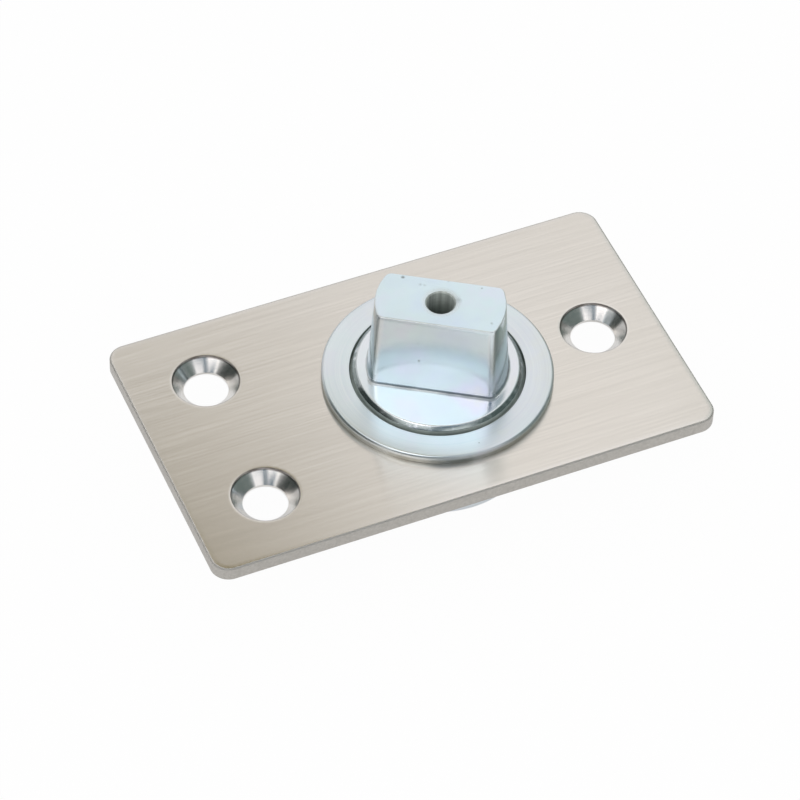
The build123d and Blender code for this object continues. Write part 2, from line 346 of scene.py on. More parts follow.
def read_mark(tree, name, output="Fac"):
    """Reads what the mesh's points were marked with."""
    return add_node(tree, "ShaderNodeAttribute", {"attribute_name": name}).outputs[output]


# A Mix node names its colour sockets like those of its other kinds, so they are taken by number.
mix_colour_a = 6
mix_colour_b = 7
mix_colour_result = 2
noise_low = 0.3
noise_high = 0.7


def blend_colours(tree, amount, under, over):
    """Mixes two colours by an amount that changes over the surface and returns the result."""
    mix = add_node(tree, "ShaderNodeMix", {"data_type": "RGBA"}, Factor=amount)
    for number, colour in ((mix_colour_a, under), (mix_colour_b, over)):
        fill_socket(tree, mix.inputs[number], (*colour, 1.0) if isinstance(colour, tuple) else colour)
    return mix.outputs[mix_colour_result]


def lay_over(tree, under, over, mask, start=noise_low, full=noise_high, most=1.0):
    """Lays a colour over another as a mask goes from its start to its full value, up to the most given."""
    return blend_colours(tree, remap(tree, mask, start, full, 0.0, most), under, over)


def vary(tree, noise, low, high):
    """Spreads the range that a noise mostly keeps to over another one."""
    return remap(tree, noise, noise_low, noise_high, low, high)


def add_relief(tree, height, strength, depth, sunk=False, over=None):
    """Makes a normal from a raised or sunk height, on top of another normal where one is given."""
    bump = add_node(tree, "ShaderNodeBump", {"invert": sunk}, Strength=strength, Distance=depth,
                    Height=height)
    if over is not None:
        tree.links.new(over, bump.inputs["Normal"])
    return bump.outputs["Normal"]


def end_in_output(tree, surface, kind="ShaderNodeOutputMaterial"):
    """Links a shader to a new output node."""
    tree.links.new(surface, tree.nodes.new(kind).inputs["Surface"])


def start_finish(name, metallic=1.0):
    """Starts a finish and returns it with its tree, its shader and its Object coordinates."""
    material = bpy.data.materials.new(name)
    material.use_nodes = True
    tree = material.node_tree
    tree.nodes.clear()
    shader = add_node(tree, "ShaderNodeBsdfPrincipled", Metallic=metallic)
    end_in_output(tree, shader.outputs["BSDF"])
    return material, tree, shader, tree.nodes.new("ShaderNodeTexCoord").outputs["Object"]


def link_finish(tree, shader, colour, roughness, normal):
    """Links a finish's colour, roughness and normal to its shader."""
    for name, source in (("Base Color", colour), ("Roughness", roughness), ("Normal", normal)):
        tree.links.new(source, shader.inputs[name])


brushed, tree, shader, place = start_finish("brushed_stainless_top")
brush_shade = (0.745, 0.704, 0.654)
brush_light = (0.798, 0.757, 0.708)
score_shade = (0.66, 0.62, 0.57)
cloud_tint = (0.755, 0.702, 0.63)
rubbed_steel = (0.84, 0.815, 0.78)
grain = place_group(tree, grain_tree, Vector=place, Length=50.0, Fineness=4200.0)
marks = place_group(tree, marks_tree, Vector=place, Cloud_Scale=28.0)
streaked = lay_over(tree, brush_shade, brush_light, grain["Broad"])
scored = lay_over(tree, streaked, score_shade, grain["Fine"], start=0.35, most=0.4)
clouded = lay_over(tree, scored, cloud_tint, marks["Clouds"], start=0.35, full=0.75, most=0.35)
worn = lay_over(tree, clouded, rubbed_steel, read_mark(tree, "rub"), start=0.0, full=1.0, most=0.5)
shader.inputs["Anisotropic"].default_value = 1.0
across = add_node(tree, "ShaderNodeCombineXYZ", Y=1.0).outputs["Vector"]
tree.links.new(across, shader.inputs["Tangent"])
link_finish(tree, shader, worn, remap(tree, grain["Fine"], 0.25, 0.75, to_low=0.17, to_high=0.22),
            add_relief(tree, grain["Fine"], strength=0.12, depth=0.01 * MM))

sheared, tree, shader, place = start_finish("blanked_stainless_edge")
torn_shade = (0.46, 0.445, 0.415)
torn_light = (0.58, 0.56, 0.525)
rollover_painted_highlight = (0.74, 0.72, 0.69)
rolled_roughness = 0.75
rolled_start = plate_top - 0.55 * MM
rolled_full = plate_top - 0.25 * MM
grain = place_group(tree, grain_tree, Vector=place, Length=2600.0, Fineness=2600.0)
height = along(tree, place, "Z")
torn = lay_over(tree, torn_shade, torn_light, grain["Fine"])
# The rolled-over top of the edge is lightened and roughened in a band just below the top: a painted
# highlight.
highlighted_edge = lay_over(tree, torn, rollover_painted_highlight, height, rolled_start, rolled_full, most=0.7)
torn_roughness = vary(tree, grain["Broad"], low=0.34, high=0.48)
link_finish(tree, shader, highlighted_edge,
            remap(tree, height, rolled_start, rolled_full, torn_roughness, rolled_roughness),
            add_relief(tree, grain["Fine"], strength=0.15, depth=0.02 * MM))

countersunk, tree, shader, place = start_finish("countersunk_stainless")
cut_shade = (0.76, 0.745, 0.725)
cut_light = (0.87, 0.855, 0.83)
# The straight wall above each countersink and the top of its cone get a painted shade, broken into patches.
lip_painted_shade = (0.2, 0.18, 0.165)
lip_shade_depth = 0.25 * MM
offset = read_mark(tree, "from_axis", "Vector")
turned = place_group(tree, turning_tree, From_Axis=offset, Fineness=6000.0, Wander=0.3)
lip = place_group(tree, grime_shade_tree, Vector=offset, From=countersink_lip - lip_shade_depth,
                  Full=countersink_lip, Breakup=500.0)
cut = lay_over(tree, cut_shade, cut_light, turned["Lines"])
shader.inputs["Anisotropic"].default_value = 0.5
tree.links.new(work_out(tree, "NORMALIZE", offset, vector=True), shader.inputs["Tangent"])
link_finish(tree, shader, blend_colours(tree, lip["Grime_And_Shade"], cut, lip_painted_shade),
            vary(tree, turned["Chatter"], low=0.18, high=0.25),
            add_relief(tree, turned["Lines"], strength=0.25, depth=0.02 * MM))

add_piece(plate, "brushed_floor_plate", "base", ["floor_plate"],
          [brushed, sheared, countersunk])


# Bearing housing: a cup turned from steel bar and zinc plated, with a rounded flange that sits on the plate.
# It drops through the plate's middle hole, and its lip is flared out below the plate to hold it there.
# Its floor has a seat for the ball bearing above and a recess for the washer and ring below.
housing_low, housing_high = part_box("bearing_housing")
bush_low, bush_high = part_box("guide_bush")
flange_radius = housing_high.x
flange_rounding = 0.5 * MM
flange_under_edge = 0.06 * MM
body_radius = mounts["housing_spigot"]["dims"]["r_mm"] * MM
staked_radius = housing_hole_radius - 0.02 * MM
bore_radius = 16.45 * MM
bore_mouth = 0.1 * MM
recess_radius = 12.0 * MM
recess_edge = 0.1 * MM
turned_edge = 0.3 * MM
turned_steps = 256
wall_margin = 0.02 * MM
housing_floor_top = bush_high.z
housing_floor_bottom = bush_low.z

housing = bmesh.new()
spin_outline(housing, [(bush_high.x, housing_floor_top, recess_edge),
                       (bore_radius, housing_floor_top, 0.0),
                       (bore_radius, housing_high.z, bore_mouth),
                       (flange_radius, housing_high.z, flange_rounding),
                       (flange_radius, plate_top, flange_under_edge),
                       (staked_radius, plate_top, 0.0),
                       (staked_radius, plate_low.z + stake_rise, 0.0),
                       (staked_radius + stake_flare, plate_low.z, 0.0),
                       (body_radius, plate_low.z, 0.0),
                       (body_radius, housing_low.z, turned_edge),
                       (recess_radius, housing_low.z, recess_edge),
                       (recess_radius, housing_floor_bottom, 0.0),
                       (bush_high.x, housing_floor_bottom, recess_edge)],
             steps=turned_steps, closed=True, segments=8)
for face in housing.faces:
    if abs(face.calc_center_median().xy.length - bore_radius) < wall_margin:
        face.material_index = 1

tint_tree, tint_in, tint_out = start_group(
    "passivation_tints", [("Vector", "NodeSocketVector", None), ("Scale", "NodeSocketFloat", 60.0)],
    [("Tint", "NodeSocketColor")])
tint_blue = (0.66, 0.765, 0.875, 1.0)
tint_green = (0.69, 0.815, 0.86, 1.0)
tint_violet = (0.73, 0.775, 0.885, 1.0)
tint_yellow = (0.775, 0.805, 0.79, 1.0)
tint_noise = add_noise(tint_tree, tint_in["Vector"], tint_in["Scale"], detail=4.0, roughness=0.6)
tint_ramp = add_node(tint_tree, "ShaderNodeValToRGB", Fac=tint_noise)
tint_stops = tint_ramp.color_ramp.elements
tint_stops[0].position = 0.3
tint_stops[0].color = tint_blue
tint_stops[1].position = 0.72
tint_stops[1].color = tint_yellow
for position, colour in ((0.44, tint_green), (0.58, tint_violet)):
    tint_stops.new(position).color = colour
tint_tree.links.new(tint_ramp.outputs["Color"], tint_out["Tint"])

zinc_turned, tree, shader, place = start_finish("turned_zinc_plate")
turned_light = (0.87, 0.935, 0.96)
rubbed_flange = (0.85, 0.87, 0.87)
flange_pit = (0.2, 0.22, 0.22)
# The flange's outer wall darkens towards the plate, where the two parts meet: a painted shade, broken into
# patches.
flange_foot_painted_shade = (0.37, 0.38, 0.35)
flange_shade_start = plate_top + 1.25 * MM
flange_shade_full = plate_top + 0.5 * MM
turned = place_group(tree, turning_tree, From_Axis=place, Fineness=2600.0, Wander=0.5)
marks = place_group(tree, marks_tree, Vector=place, Cloud_Scale=110.0, Pit_Scale=420.0, Pit_Size=0.09)
tints = place_group(tree, tint_tree, Vector=place, Scale=75.0)
flange_shade = place_group(tree, grime_shade_tree, Vector=place, From=flange_shade_start, Full=flange_shade_full,
                    Lowest=plate_top, Breakup=260.0)
rub = read_mark(tree, "rub")
lined = lay_over(tree, tints["Tint"], turned_light, turned["Lines"], start=0.35, full=0.65, most=0.6)
worn = lay_over(tree, lined, rubbed_flange, rub, full=1.0, most=0.4)
pitted = blend_colours(tree, marks["Pits"], worn, flange_pit)
foot_shaded = blend_colours(tree, flange_shade["Grime_And_Shade"], pitted, flange_foot_painted_shade)
polish = vary(tree, marks["Clouds"], low=0.17, high=0.21)
dulled = work_out(tree, "ADD", polish, remap(tree, rub, 0.2, 1.0, to_high=0.12))
shader.inputs["Anisotropic"].default_value = 0.25
outward = work_out(tree, "MULTIPLY", place, level_only, vector=True)
tree.links.new(work_out(tree, "NORMALIZE", outward, vector=True), shader.inputs["Tangent"])
tool_lines = add_relief(tree, turned["Lines"], strength=0.2, depth=0.02 * MM)
link_finish(tree, shader, foot_shaded, dulled,
            add_relief(tree, marks["Pits"], strength=0.5, depth=0.06 * MM, sunk=True, over=tool_lines))

gap_grease, tree, shader, place = start_finish("greased_running_gap", metallic=0.0)
grease_shade = (0.22, 0.265, 0.255)
grease_light = (0.37, 0.425, 0.405)
clouds = place_group(tree, marks_tree, Vector=place, Cloud_Scale=240.0)["Clouds"]
link_finish(tree, shader, lay_over(tree, grease_shade, grease_light, clouds),
            vary(tree, clouds, low=0.35, high=0.5),
            add_relief(tree, clouds, strength=0.2, depth=0.04 * MM))

add_piece(housing, "plated_bearing_housing", "base", ["bearing_housing"],
          [zinc_turned, gap_grease])


# Guide bush and housing washer: a plain bronze bush pressed into the housing's floor, and over it the
# lower race of the thrust bearing, hardened steel ground and polished in its ball track.
bush_finish, tree, shader, place = start_finish("bearing_bronze")
bronze_shade = (0.52, 0.31, 0.13)
bronze_light = (0.68, 0.45, 0.21)
bronze_pit = (0.12, 0.07, 0.03)
turned = place_group(tree, turning_tree, From_Axis=place, Fineness=4500.0, Wander=0.2)
marks = place_group(tree, marks_tree, Vector=place, Cloud_Scale=160.0, Pit_Scale=500.0, Pit_Size=0.2)
oiled = blend_colours(tree, marks["Clouds"], bronze_shade, bronze_light)
link_finish(tree, shader, blend_colours(tree, marks["Pits"], oiled, bronze_pit),
            vary(tree, turned["Lines"], low=0.24, high=0.38),
            add_relief(tree, turned["Lines"], strength=0.2, depth=0.02 * MM))

race_finish, tree, shader, place = start_finish("ground_bearing_steel")
race_shade = (0.5, 0.51, 0.53)
race_light = (0.62, 0.63, 0.64)
race_pit = (0.2, 0.19, 0.18)
turned = place_group(tree, turning_tree, From_Axis=place, Fineness=9000.0, Wander=0.1)
marks = place_group(tree, marks_tree, Vector=place, Cloud_Scale=140.0, Pit_Scale=420.0, Pit_Size=0.08)
greyed = blend_colours(tree, marks["Clouds"], race_shade, race_light)
link_finish(tree, shader, blend_colours(tree, marks["Pits"], greyed, race_pit),
            vary(tree, turned["Lines"], low=0.1, high=0.2),
            add_relief(tree, turned["Lines"], strength=0.1, depth=0.01 * MM))


def finish_node(name, material):
    """Gives a carried-over piece its finish."""
    mesh = frame["nodes"][name].data
    mesh.materials.clear()
    mesh.materials.append(material)


finish_node("guide_bush", bush_finish)
finish_node("bearing_housing_washer", race_finish)


# Ball cage and balls: a pressed steel cage that keeps twelve hardened balls apart between the two races.
# The cage is stamped from strip with round pockets, and rolls round at half the spindle's speed.
cage_finish, tree, shader, place = start_finish("pressed_cage_steel")
cage_shade = (0.4, 0.39, 0.36)
cage_light = (0.55, 0.53, 0.49)
cage_pit = (0.16, 0.14, 0.12)
marks = place_group(tree, marks_tree, Vector=place, Cloud_Scale=220.0, Pit_Scale=520.0, Pit_Size=0.14)
pressed = blend_colours(tree, marks["Clouds"], cage_shade, cage_light)
link_finish(tree, shader, blend_colours(tree, marks["Pits"], pressed, cage_pit),
            vary(tree, marks["Clouds"], low=0.3, high=0.42),
            add_relief(tree, marks["Clouds"], strength=0.15, depth=0.03 * MM))

ball_finish, tree, shader, place = start_finish("lapped_ball_steel")
ball_shade = (0.58, 0.59, 0.61)
ball_light = (0.68, 0.69, 0.7)
marks = place_group(tree, marks_tree, Vector=place, Cloud_Scale=300.0, Pit_Scale=700.0, Pit_Size=0.05)
link_finish(tree, shader, blend_colours(tree, marks["Clouds"], ball_shade, ball_light),
            vary(tree, marks["Clouds"], low=0.04, high=0.09),
            add_relief(tree, marks["Pits"], strength=0.1, depth=0.01 * MM, sunk=True))

finish_node("bearing_cage", cage_finish)
for name in frame["nodes"]:
    if name.startswith("bearing_ball"):
        finish_node(name, ball_finish)


# Shaft washer: the upper race of the thrust bearing, ground from the same hardened steel as the lower one.
# It sits under the spindle's collar and turns with it.
finish_node("bearing_shaft_washer", race_finish)


# Spindle: one steel forging, turned on its collar and shaft, with a tapered head milled flat on two sides.
# The head is drilled down its middle, its edges are broken, and the whole of it is zinc plated, which
# leaves small pits and a faint blue and yellow cast.
spindle_low, spindle_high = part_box("spindle")
ring_low, ring_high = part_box("retaining_ring")
head_top = spindle_high.z
head_base = mounts["spindle_head"]["pos_m"][2]
head_base_radius = 13.2 * MM
head_top_radius = 12.1 * MM
head_taper = (head_base_radius - head_top_radius) / (head_top - head_base)
head_base_half = 6.85 * MM
head_top_half = 5.7 * MM
head_lean = atan2(head_base_half - head_top_half, head_top - head_base)
head_angle = radians(-32.4)
head_sides = 40
head_corner_angle = radians(25)
head_shoulder_drop = 0.9 * MM
head_shoulder = head_top - head_shoulder_drop
head_foot_rise = 0.8 * MM
head_foot = head_base + head_foot_rise
head_side_edge = 0.75 * MM
head_top_edge = 0.14 * MM
head_edge_band = 0.6 * MM
head_foot_fillet = 0.35 * MM
head_foot_apron = 0.7 * MM
head_crease_band = 0.5 * MM
head_hole_radius = mounts["head_hole"]["dims"]["r_mm"] * MM
head_hole_mouth = 0.25 * MM
head_hole_rim = head_hole_radius + head_hole_mouth
head_hole_band = 1.3 * MM
head_hole_edge = 0.06 * MM
head_hole_floor = head_top - 10.0 * MM
drill_point_slope = 1.664
drill_point = head_hole_floor - head_hole_radius / drill_point_slope
hole_finish_drop = 0.03 * MM
mouth_darkening = 0.3
mouth_darkening_band = 0.2 * MM
collar_radius = 15.9 * MM
collar_bottom = head_base - 4.3 * MM
collar_chamfer = 0.75 * MM
collar_top_band = 0.5 * MM
collar_top_edge = 0.12 * MM
collar_side_edge = 0.1 * MM
collar_under_edge = 0.2 * MM
grease_radius = bore_radius - 0.05 * MM
grease_top = housing_high.z - 0.9 * MM
grease_bottom = grease_top - 0.8 * MM
grease_slope = 0.2 * MM
grease_edge = 0.1 * MM
bush_wall = 2.0 * MM
journal_play = 0.03 * MM
shaft_radius = bush_high.x - bush_wall - journal_play
groove_radius = shaft_radius - 0.25 * MM
shaft_end = spindle_low.z
shaft_end_edge = 0.3 * MM


def on_plane(element, point, normal):
    """Tells whether all the points of an edge or a face lie on a plane."""
    return all(abs((vert.co - point).dot(normal)) < NEAR for vert in element.verts)


def leave_unrubbed(bm, verts):
    """Takes the rubbed mark off points that were copied from a rounding."""
    rub = bm.verts.layers.float["rub"]
    for vert in verts:
        vert[rub] = 0.0


spindle = bmesh.new()
spin_outline(spindle, [(head_base_radius, head_base, 0.0),
                       (head_base_radius - head_taper * head_foot_rise, head_foot, 0.0),
                       (head_top_radius + head_taper * head_shoulder_drop, head_shoulder, 0.0),
                       (head_top_radius, head_top, 0.0)], steps=head_sides)
turn(spindle, pi / head_sides)
for side in (1, -1):
    flat_point = Vector((0.0, side * head_base_half, head_base))
    flat_normal = Vector((0.0, side * cos(head_lean), sin(head_lean)))
    bmesh.ops.bisect_plane(spindle, geom=spindle.verts[:] + spindle.edges[:] + spindle.faces[:],
                           plane_co=flat_point, plane_no=flat_normal, clear_outer=True)
    cut = [edge for edge in spindle.edges if edge.is_boundary and on_plane(edge, flat_point, flat_normal)]
    bmesh.ops.bridge_loops(spindle, edges=cut)
    corners = [edge for edge in spindle.edges
               if len(edge.link_faces) == 2 and on_plane(edge, flat_point, flat_normal)
               and edge.calc_face_angle() > head_corner_angle]
    round_edges(spindle, corners, head_side_edge, segments=10)
    spindle.normal_update()
    flats = [face for face in spindle.faces if on_plane(face, flat_point, flat_normal)]
    bmesh.ops.inset_region(spindle, faces=flats, thickness=head_edge_band, use_boundary=False,
                           use_even_offset=True)
    leave_unrubbed(spindle, {vert for face in flats for vert in face.verts})
foot = [edge for edge in spindle.edges if edge.is_boundary and at_level(edge, head_base)]
extruded = bmesh.ops.extrude_edge_only(spindle, edges=foot)["geom"]
apron = [vert for vert in extruded if isinstance(vert, bmesh.types.BMVert)]
bmesh.ops.scale(spindle, verts=apron, vec=(1 + head_foot_apron / head_base_radius,
                                           1 + head_foot_apron / head_base_half, 1.0))
leave_unrubbed(spindle, apron)
crease = spindle.verts.layers.float.new("crease")
for vert in bevel_edges(spindle, foot, head_foot_fillet, segments=5):
    if abs(vert.co.y) > head_base_half - head_crease_band:
        vert[crease] = 1.0
head_rim = [edge for edge in spindle.edges if edge.is_boundary and at_level(edge, head_top)]
bmesh.ops.holes_fill(spindle, edges=head_rim, sides=0)
round_edges(spindle, head_rim, head_top_edge, segments=5)
head_cap = max((face for face in spindle.faces if at_level(face, head_top)),
               key=lambda face: face.calc_area())
bmesh.ops.inset_region(spindle, faces=[head_cap], thickness=head_edge_band / 2, use_even_offset=True)
leave_unrubbed(spindle, head_cap.verts)
bmesh.ops.delete(spindle, geom=[head_cap], context="FACES_ONLY")
turn(spindle, head_angle)
drilled_faces = spin_outline(spindle, [(head_hole_rim + head_hole_band, head_top, 0.0),
                                       (head_hole_rim, head_top, head_hole_edge),
                                       (head_hole_radius, head_top - head_hole_mouth, head_hole_edge),
                                       (head_hole_radius, head_hole_floor, 0.0),
                                       (0.0, drill_point, 0.0)], steps=96)
for face in drilled_faces:
    if face.calc_center_median().z < head_top - hole_finish_drop:
        face.material_index = 1
for vert in {vert for face in drilled_faces for vert in face.verts}:
    if vert.co.xy.length < head_hole_rim + mouth_darkening_band:
        vert[crease] = mouth_darkening
fill_level(spindle, head_top)
spin_outline(spindle, [(collar_radius - collar_chamfer - collar_top_band, head_base, 0.0),
                       (collar_radius - collar_chamfer, head_base, collar_top_edge),
                       (collar_radius, head_base - collar_chamfer, collar_side_edge),
                       (collar_radius, grease_top + grease_slope, 0.0),
                       (grease_radius, grease_top, grease_edge),
                       (grease_radius, grease_bottom, grease_edge),
                       (collar_radius, grease_bottom - grease_slope, 0.0),
                       (collar_radius, collar_bottom, collar_under_edge),
                       (shaft_radius, collar_bottom, 0.0),
                       (shaft_radius, ring_high.z, 0.0),
                       (groove_radius, ring_high.z, 0.0),
                       (groove_radius, ring_low.z, 0.0),
                       (shaft_radius, ring_low.z, 0.0),
                       (shaft_radius, shaft_end, shaft_end_edge),
                       (0.0, shaft_end, 0.0)], steps=turned_steps)
fill_level(spindle, head_base)
for face in spindle.faces:
    centre = face.calc_center_median()
    if centre.xy.length > collar_radius - wall_margin and centre.z < head_base - collar_chamfer:
        face.material_index = 2

void_tree, void_in, void_out = start_group(
    "plating_voids", [("Vector", "NodeSocketVector", None), ("Place", "NodeSocketVector", None),
                      ("Reach", "NodeSocketFloat", 0.0005), ("Raggedness", "NodeSocketFloat", 0.0004)],
    [("Void", "NodeSocketFloat")])
void_noise = add_noise(void_tree, void_in["Vector"], scale=1500.0, detail=2.0)
void_gap = work_out(void_tree, "DISTANCE", void_in["Vector"], void_in["Place"], vector=True)
void_edge = work_out(void_tree, "MULTIPLY_ADD", void_noise, void_in["Raggedness"], void_gap)
void_far = work_out(void_tree, "ADD", void_in["Reach"], void_in["Raggedness"])
void_mask = remap(void_tree, void_edge, void_in["Reach"], void_far, 1.0, 0.0,
                  interpolation_type="SMOOTHSTEP")
void_tree.links.new(void_mask, void_out["Void"])

zinc_forged, tree, shader, place = start_finish("forged_zinc_plate")
milled_tint = (0.66, 0.775, 0.775)
faced_tint = (0.79, 0.785, 0.795)
faced_start = head_base + 0.4 * MM
faced_full = head_base + 0.05 * MM
rubbed_head = (0.84, 0.89, 0.91)
scuff_shade = (0.26, 0.32, 0.31)
scuff_start = head_base - 0.02 * MM
scuff_full = head_base - 0.2 * MM
head_pit = (0.24, 0.27, 0.27)
crease_painted_shade = (0.36, 0.41, 0.45)
pit_shift = (0.0031, 0.0012, 0.0004)
head_voids = ((-3.9, 8.4, 0.25, 0.5, 0.9), (-1.7, 5.5, 0.1, 1.0, 0.6), (-1.0, 5.1, 0.1, 0.9, 0.45),
              (3.4, 4.3, 0.05, 0.4, 0.5), (3.2, -0.6, 0.4, 1.3, 0.4), (6.6, -8.2, 0.1, 0.7, 0.55),
              (-12.2, 1.9, 0.1, 0.7, 0.55))
shifted = add_node(tree, "ShaderNodeMapping", Vector=place, Location=pit_shift).outputs["Vector"]
upright = add_node(tree, "ShaderNodeMapping", Vector=place, Rotation=(0.0, pi / 2, 0.0)).outputs["Vector"]
marks = place_group(tree, marks_tree, Vector=shifted, Cloud_Scale=95.0, Pit_Scale=420.0, Pit_Size=0.14)
milled = place_group(tree, grain_tree, Vector=upright, Length=60.0, Fineness=900.0)
tints = place_group(tree, tint_tree, Vector=place, Scale=62.0)
scuffs = place_group(tree, grime_shade_tree, Vector=place, From=scuff_start, Full=scuff_full, Breakup=700.0)
crease_mark = read_mark(tree, "crease")
rub = read_mark(tree, "rub")
streaked = lay_over(tree, tints["Tint"], milled_tint, milled["Broad"], start=0.4, full=0.8, most=0.3)
faced = lay_over(tree, streaked, faced_tint, along(tree, place, "Z"), faced_start, faced_full, most=0.6)
worn = lay_over(tree, faced, rubbed_head, rub, full=1.0, most=0.6)
scuffed = lay_over(tree, worn, scuff_shade, scuffs["Grime_And_Shade"], start=0.6, full=0.85, most=0.75)
pitted = blend_colours(tree, marks["Pits"], scuffed, head_pit)
for void_x, void_y, reach, raggedness, most in head_voids:
    void = place_group(tree, void_tree, Vector=place, Place=(void_x * MM, void_y * MM, head_top),
                       Reach=reach * MM, Raggedness=raggedness * MM)
    pitted = lay_over(tree, pitted, head_pit, void["Void"], start=0.0, full=1.0, most=most)
# The crease along the foot of the flats gets a painted shade; the hole's mouth is darkened by a smaller share
# of the same colour. Both are broken up by the clouds.
crease_shade_amount = work_out(tree, "MULTIPLY", remap(tree, crease_mark, 0.1, 1.0, to_high=0.85),
                 remap(tree, marks["Clouds"], 0.42, 0.6, to_low=0.1))
crease_shaded = blend_colours(tree, crease_shade_amount, pitted, crease_painted_shade)
polish = vary(tree, marks["Clouds"], low=0.15, high=0.21)
dulled = work_out(tree, "ADD", polish, remap(tree, rub, 0.2, 1.0, to_high=0.05))
roughened = work_out(tree, "ADD", dulled, remap(tree, crease_mark, 0.0, 1.0, to_high=0.25))
tool_lines = add_relief(tree, milled["Fine"], strength=0.06, depth=0.03 * MM)
link_finish(tree, shader, crease_shaded, roughened,
            add_relief(tree, marks["Pits"], strength=0.6, depth=0.1 * MM, sunk=True, over=tool_lines))

zinc_drilled, tree, shader, place = start_finish("drilled_zinc_plate", metallic=0.0)
thin_shade = (0.36, 0.41, 0.38)
thin_light = (0.48, 0.53, 0.51)
streak_shade = (0.1, 0.11, 0.11)
deep_painted_shade = (0.13, 0.17, 0.155)
deep_start = head_top - 1.5 * MM
deep_full = head_top - 6.0 * MM
turned = place_group(tree, turning_tree, From_Axis=place, Fineness=2200.0, Wander=0.6)
thin = lay_over(tree, thin_shade, thin_light, turned["Lines"])
streaked = lay_over(tree, thin, streak_shade, turned["Chatter"], start=0.4, full=0.65, most=0.55)
# The hole darkens from 1.5 mm to 6 mm below the top: a painted shade.
depth_shaded = lay_over(tree, streaked, deep_painted_shade, along(tree, place, "Z"), deep_start, deep_full, most=0.75)
link_finish(tree, shader, depth_shaded, vary(tree, turned["Lines"], low=0.42, high=0.52),
            add_relief(tree, turned["Lines"], strength=0.3, depth=0.03 * MM))

add_piece(spindle, "plated_spindle", "spindle", ["spindle"],
          [zinc_forged, zinc_drilled, gap_grease])


# Retaining washer and ring: a blanked, zinc plated washer under the housing's floor, and a spring steel
# circlip, oil blackened, snapped into the shaft's groove to keep the spindle in.
washer_finish, tree, shader, place = start_finish("blanked_zinc_plate")
washer_shade = (0.56, 0.62, 0.66)
washer_light = (0.68, 0.71, 0.7)
washer_pit = (0.2, 0.2, 0.19)
marks = place_group(tree, marks_tree, Vector=place, Cloud_Scale=180.0, Pit_Scale=420.0, Pit_Size=0.16)
tinted = blend_colours(tree, marks["Clouds"], washer_shade, washer_light)
link_finish(tree, shader, blend_colours(tree, marks["Pits"], tinted, washer_pit),
            vary(tree, marks["Clouds"], low=0.22, high=0.36),
            add_relief(tree, marks["Pits"], strength=0.4, depth=0.05 * MM, sunk=True))

spring_finish, tree, shader, place = start_finish("blackened_spring_steel")
spring_shade = (0.035, 0.04, 0.055)
spring_light = (0.09, 0.085, 0.08)
spring_pit = (0.3, 0.29, 0.28)
marks = place_group(tree, marks_tree, Vector=place, Cloud_Scale=260.0, Pit_Scale=600.0, Pit_Size=0.12)
blackened = blend_colours(tree, marks["Clouds"], spring_shade, spring_light)
link_finish(tree, shader, blend_colours(tree, marks["Pits"], blackened, spring_pit),
            vary(tree, marks["Clouds"], low=0.28, high=0.42),
            add_relief(tree, marks["Clouds"], strength=0.15, depth=0.02 * MM))

finish_node("retaining_washer", washer_finish)
finish_node("retaining_ring", spring_finish)


# Studio: a pale floor under the housing, a white surround and three soft lamps on the viewer's side, with
# darker cards and arches that are out of view and give the bright metal something to mirror.
floor_half = 6.0
floor_grey = (0.8, 0.8, 0.8, 1.0)
pure_white = (1.0, 1.0, 1.0, 1.0)
floor_seen = 0.97
floor_mirrored = 0.5
surround_light = 0.8
surround_seen = 1.0
lamp_distance = 0.95
lamp_colour = (1.08, 1.0, 0.96)


def add_stage(name, paint_name, mesh, seen=True):
    """Adds a piece of the studio, seen by all or only by mirrors, and returns its empty paint's node tree."""
    data = bpy.data.meshes.new(name)
    mesh.to_mesh(data)
    mesh.free()
    piece = bpy.data.objects.new(name, data)
    bpy.context.scene.collection.objects.link(piece)
    piece.visible_camera = seen
    piece.visible_shadow = seen
    piece.visible_diffuse = seen
    paint = bpy.data.materials.new(paint_name)
    paint.use_nodes = True
    paint.node_tree.nodes.clear()
    data.materials.append(paint)
    return paint.node_tree


floor = bmesh.new()
bmesh.ops.create_grid(floor, x_segments=1, y_segments=1, size=floor_half)
bmesh.ops.translate(floor, verts=floor.verts[:], vec=(0.0, 0.0, cad_low.z))
tree = add_stage("studio_floor", "white_floor", floor)
path = tree.nodes.new("ShaderNodeLightPath").outputs
seen = work_out(tree, "MAXIMUM", path["Is Camera Ray"], path["Is Transmission Ray"])
clear = work_out(tree, "MULTIPLY", seen, floor_seen)
mirrored = work_out(tree, "MULTIPLY", path["Is Glossy Ray"], floor_mirrored)
glow = work_out(tree, "MAXIMUM", clear, mirrored)
matt = add_node(tree, "ShaderNodeBsdfDiffuse", Color=floor_grey)
white = add_node(tree, "ShaderNodeEmission", Color=pure_white, Strength=1.0)
both = add_node(tree, "ShaderNodeMixShader", i0=glow, i1=matt.outputs[0], i2=white.outputs[0])
end_in_output(tree, both.outputs[0])

surround = bpy.data.worlds.new("white_surround")
bpy.context.scene.world = surround
surround.use_nodes = True
tree = surround.node_tree
tree.nodes.clear()
path = tree.nodes.new("ShaderNodeLightPath").outputs
seen = work_out(tree, "MAXIMUM", path["Is Camera Ray"], path["Is Glossy Ray"])
seen = work_out(tree, "MAXIMUM", seen, path["Is Transmission Ray"])
backdrop = add_node(tree, "ShaderNodeBackground", Color=pure_white,
                    Strength=remap(tree, seen, 0.0, 1.0, surround_light, surround_seen))
end_in_output(tree, backdrop.outputs[0], "ShaderNodeOutputWorld")


def towards(azimuth, elevation):
    """Gives the unit direction at an azimuth from +X and an elevation, both in degrees."""
    return Vector((cos(radians(azimuth)) * cos(radians(elevation)),
                   sin(radians(azimuth)) * cos(radians(elevation)),
                   sin(radians(elevation))))


